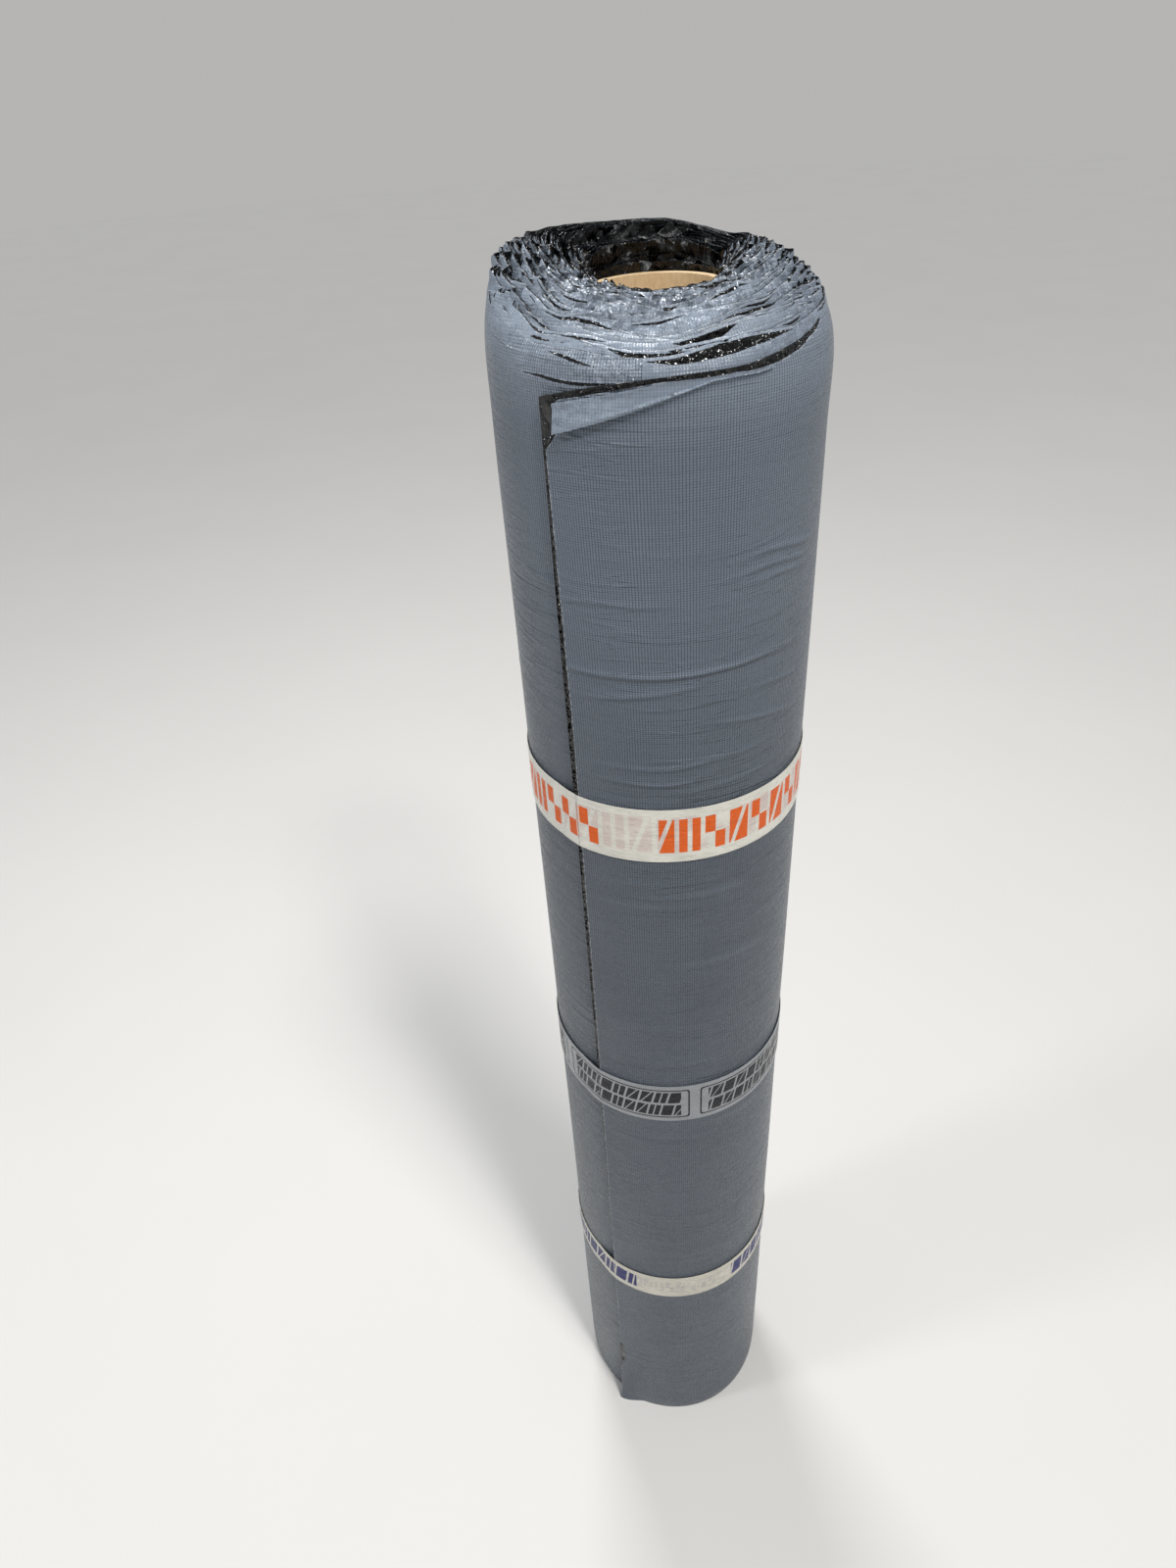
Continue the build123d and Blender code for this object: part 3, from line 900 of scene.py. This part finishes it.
def marks(f, along, across, pitch, low, high, slant=0.0, bold=False):
    """A row of plain printed marks between two heights on the tape, picked at random.

    They are twin bars, steps and blocks with a slanted cut; bold ones have narrow cuts, and blocks for the steps.
    """
    half = 0.055 if bold else 0.09
    up = f.math("DIVIDE", f.minus(across, low), high - low)
    where = f.plus(f.math("DIVIDE", along, pitch), f.times(up, slant))
    u = f.math("FRACT", where)
    pick = f.node("ShaderNodeTexWhiteNoise", {"W": f.math("FLOOR", where)}, noise_dimensions="1D").outputs["Value"]
    block = f.times(f.between(u, 0.06, 0.90 if bold else 0.88), f.between(up, 0.0, 1.0))
    slot = f.between(u, 0.47 - half, 0.47 + half)
    steps = f.math("COMPARE", f.math("LESS_THAN", u, 0.47), f.math("LESS_THAN", up, 0.5), 0.5)
    steps = f.times(steps, 0.0 if bold else 1.0)
    slash = f.math("LESS_THAN", f.apart(u, f.plus(0.20, f.times(up, 0.52))), half)
    cut = f.blend(f.math("GREATER_THAN", pick, 0.30), slot, f.blend(f.math("GREATER_THAN", pick, 0.62), steps, slash))
    return f.times(block, f.minus(1.0, cut))


def repeat(f, along, start, pitch):
    """Place in a pattern that repeats along the tape, from 0 to 1."""
    return f.math("FRACT", f.math("DIVIDE", f.minus(along, start), pitch))


def wide_print(f, along, across):
    """Groups of large marks with a gap, and the print of the tape beneath showing through as a ghost."""
    group = f.math("LESS_THAN", repeat(f, along, 1.30, 4.74), 0.80)
    ghost = marks(f, f.plus(along, 7.15), across, 0.42, 0.2, 0.86)
    return f.times(group, marks(f, along, across, 0.395, 0.18, 0.82)), ghost


def framed_print(f, along, across):
    """Two rows of slanted marks in a long thin frame with round corners."""
    pitch, long = 2.772, 2.58
    frame = f.times(repeat(f, along, 1.925, pitch), pitch)
    from_end = f.math("MINIMUM", frame, f.minus(long, frame))
    from_side = f.math("MINIMUM", f.minus(across, 0.10), f.minus(0.90, across))
    depth = f.math("SMOOTH_MIN", from_end, from_side, 0.10)
    line = f.between(depth, 0.0, 0.030)
    rows = f.plus(marks(f, along, across, 0.262, 0.53, 0.83, -0.25, True),
                  marks(f, along, across, 0.236, 0.17, 0.47, -0.25, True))
    inside = f.times(rows, f.between(frame, 0.16, long - 0.16))
    return f.math("MAXIMUM", line, inside), 0.0


def narrow_print(f, along, across):
    """Short groups of heavy marks, and faint ones showing through."""
    group = f.math("GREATER_THAN", repeat(f, along, 0.72, 6.004), 0.478)
    printed = f.times(group, marks(f, along, across, 0.40, 0.20, 0.82, -0.2, True))
    return printed, marks(f, along, across, 0.31, 0.25, 0.80)


# The scene

def studio():
    """Floor, soft lamps, a pale world and the studio's settings."""
    scene = bpy.context.scene
    scene.view_settings.view_transform = "Standard"
    ring = np.array([0.001, 300, 900, 2500, 12000])
    turn = np.linspace(0, 360, 64, endpoint=False)
    points = polar(ring[None, :], -turn[:, None], 0.0)
    floor = surface("floor", points, floor_finish(), closed_u=True)
    world = bpy.data.worlds.new("studio_world")
    world.use_nodes = True
    tree = world.node_tree
    sky = tree.nodes["Background"]
    sky.inputs["Color"].default_value = (0.93, 0.96, 1.0, 1)
    sky.inputs["Strength"].default_value = 0.30
    backdrop = tree.nodes.new("ShaderNodeBackground")
    backdrop.inputs["Color"].default_value = (0.465, 0.460, 0.450, 1)
    backdrop.inputs["Strength"].default_value = 1.0
    rays = tree.nodes.new("ShaderNodeLightPath")
    mix = tree.nodes.new("ShaderNodeMixShader")
    tree.links.new(rays.outputs["Is Camera Ray"], mix.inputs[0])
    tree.links.new(sky.outputs[0], mix.inputs[1])
    tree.links.new(backdrop.outputs[0], mix.inputs[2])
    tree.links.new(mix.outputs[0], tree.nodes["World Output"].inputs["Surface"])
    scene.world = world
    sun = bpy.data.lights.new("soft_daylight", "SUN")
    sun.energy, sun.angle, sun.color = 1.25, math.radians(14), (1, 0.98, 0.95)
    holder = bpy.data.objects.new("soft_daylight", sun)
    holder.rotation_euler = (Vector((0, 0, 0)) - Vector((0.9, -1.1, 2.3))).to_track_quat("-Z", "Y").to_euler()
    scene.collection.objects.link(holder)
    for name, place, aim, size, power, colour in (
        ("key_lamp", (0.8, -1.3, 2.6), (0, 0, 0.9), 0.24, 17, (1, 0.98, 0.95)),
        ("top_lamp", (-0.25, 0.75, 2.4), (0, 0, 1.0), 0.34, 20, (1, 1, 1)),
        ("left_lamp", (-1.3, -0.5, 2.2), (0, 0, 1.0), 0.2, 7, (1, 1, 1)),
        ("side_lamp", (-1.8, -0.8, 1.3), (0, 0, 0.6), 0.8, 3, (0.95, 0.97, 1)),
    ):
        lamp = bpy.data.lights.new(name, "AREA")
        lamp.shape, lamp.size, lamp.energy, lamp.color = "SQUARE", size, power, colour
        holder = bpy.data.objects.new(name, lamp)
        holder.location = place
        holder.rotation_euler = (Vector(aim) - Vector(place)).to_track_quat("-Z", "Y").to_euler()
        scene.collection.objects.link(holder)


def photo_camera():
    """The camera, fitted to the outlines of the roll in the photograph."""
    distance, height, yaw, pitch, roll, lens = 0.531391, 1.113591, -0.09309, 0.63247, -0.07165, 23.031
    forward = Vector((math.sin(yaw) * math.cos(pitch), math.cos(yaw) * math.cos(pitch), -math.sin(pitch)))
    level = Vector((math.cos(yaw), -math.sin(yaw), 0))
    upward = level.cross(forward)
    right = math.cos(roll) * level + math.sin(roll) * upward
    top = -math.sin(roll) * level + math.cos(roll) * upward
    data = bpy.data.cameras.new("camera")
    data.sensor_fit, data.sensor_width, data.lens = "AUTO", 36.0, lens
    data.clip_start, data.clip_end = 0.01, 50
    camera = bpy.data.objects.new("camera", data)
    facing = Matrix((right, top, -forward)).transposed().to_4x4()
    camera.matrix_world = Matrix.Translation((0, -distance, height)) @ facing
    bpy.context.scene.collection.objects.link(camera)
    bpy.context.scene.camera = camera


photo_camera()
studio()

felt = felt_finish("woven_film_on_bitumen")
leaf_felt = felt_finish("crumpled_film_on_bitumen", weave_depth=0.00012, foil_depth=0.0009, facet_tilt=1.7,
                        fold_depth=0.00015, weave_contrast=0.35)
corner_film = felt_finish("folded_film", weave_depth=0.00010, foil_depth=0.0008, facet_tilt=1.0,
                          fold_depth=0.00015, pale=0.42, weave_contrast=0.4)
card = cardboard_finish()
white_tape = tape_finish("white_tape_print", (0.77, 0.75, 0.67, 1), (0.76, 0.118, 0.010, 1), wide_print,
                         (0.62, 0.50, 0.46, 1))
clear_tape = tape_finish("clear_tape_print", (0.285, 0.30, 0.32, 1), (0.018, 0.018, 0.021, 1), framed_print,
                         (0.2, 0.2, 0.2, 1))
narrow_tape = tape_finish("narrow_tape_print", (0.62, 0.59, 0.50, 1), (0.012, 0.016, 0.13, 1), narrow_print,
                          (0.42, 0.40, 0.38, 1))

outer_sheet(felt)
crown_leaves("crown_leaves_inner", 1.0, 10.5, leaf_felt)
crown_leaves("crown_leaves_middle", 10.48, 18.5, leaf_felt)
crown_leaves("crown_leaves_outer", 18.48, 24.915, leaf_felt)
wound_turns(felt)
folded_corner(corner_film)
core_tube(card)
tape_band("wide_tape_detail", "white_tape", "wide_tape", 729, 38, white_tape, 71)
tape_band("clear_tape_detail", "clear_tape", "clear_tape", 480.5, 39, clear_tape, 81)
tape_band("narrow_tape_detail", "narrow_white_tape", "narrow_tape", 226, 30, narrow_tape, 91)
